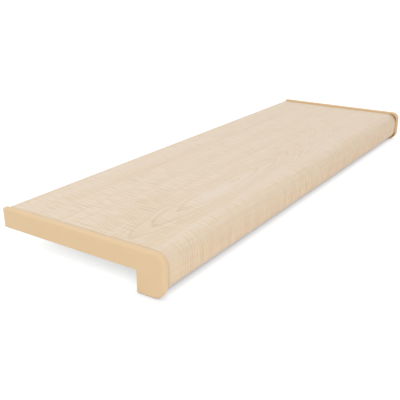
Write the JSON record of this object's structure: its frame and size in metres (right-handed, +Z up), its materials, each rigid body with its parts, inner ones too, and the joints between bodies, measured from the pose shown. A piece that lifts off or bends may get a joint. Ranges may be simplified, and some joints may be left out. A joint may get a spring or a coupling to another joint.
{
  "type": "window sill board",
  "caption": "Interior window sill board: flat plate with a deep rounded nose along the front and a push-on moulded cap over each end.",
  "frame": {"origin": "on the floor under the middle of the whole part", "axes": "X along the board, -Y to the room side with the nose, +Y to the window, +Z up"},
  "size_m": [0.636, 0.2026, 0.0436],
  "materials": {
    "maple_decor": "pale maple decor film, satin",
    "cap_plastic": "plain beige moulded plastic, fine matt"
  },
  "bodies": {
    "root": {"sill_board": "maple_decor", "end_cap_left": "cap_plastic", "end_cap_right": "cap_plastic"}
  },
  "joints": []
}
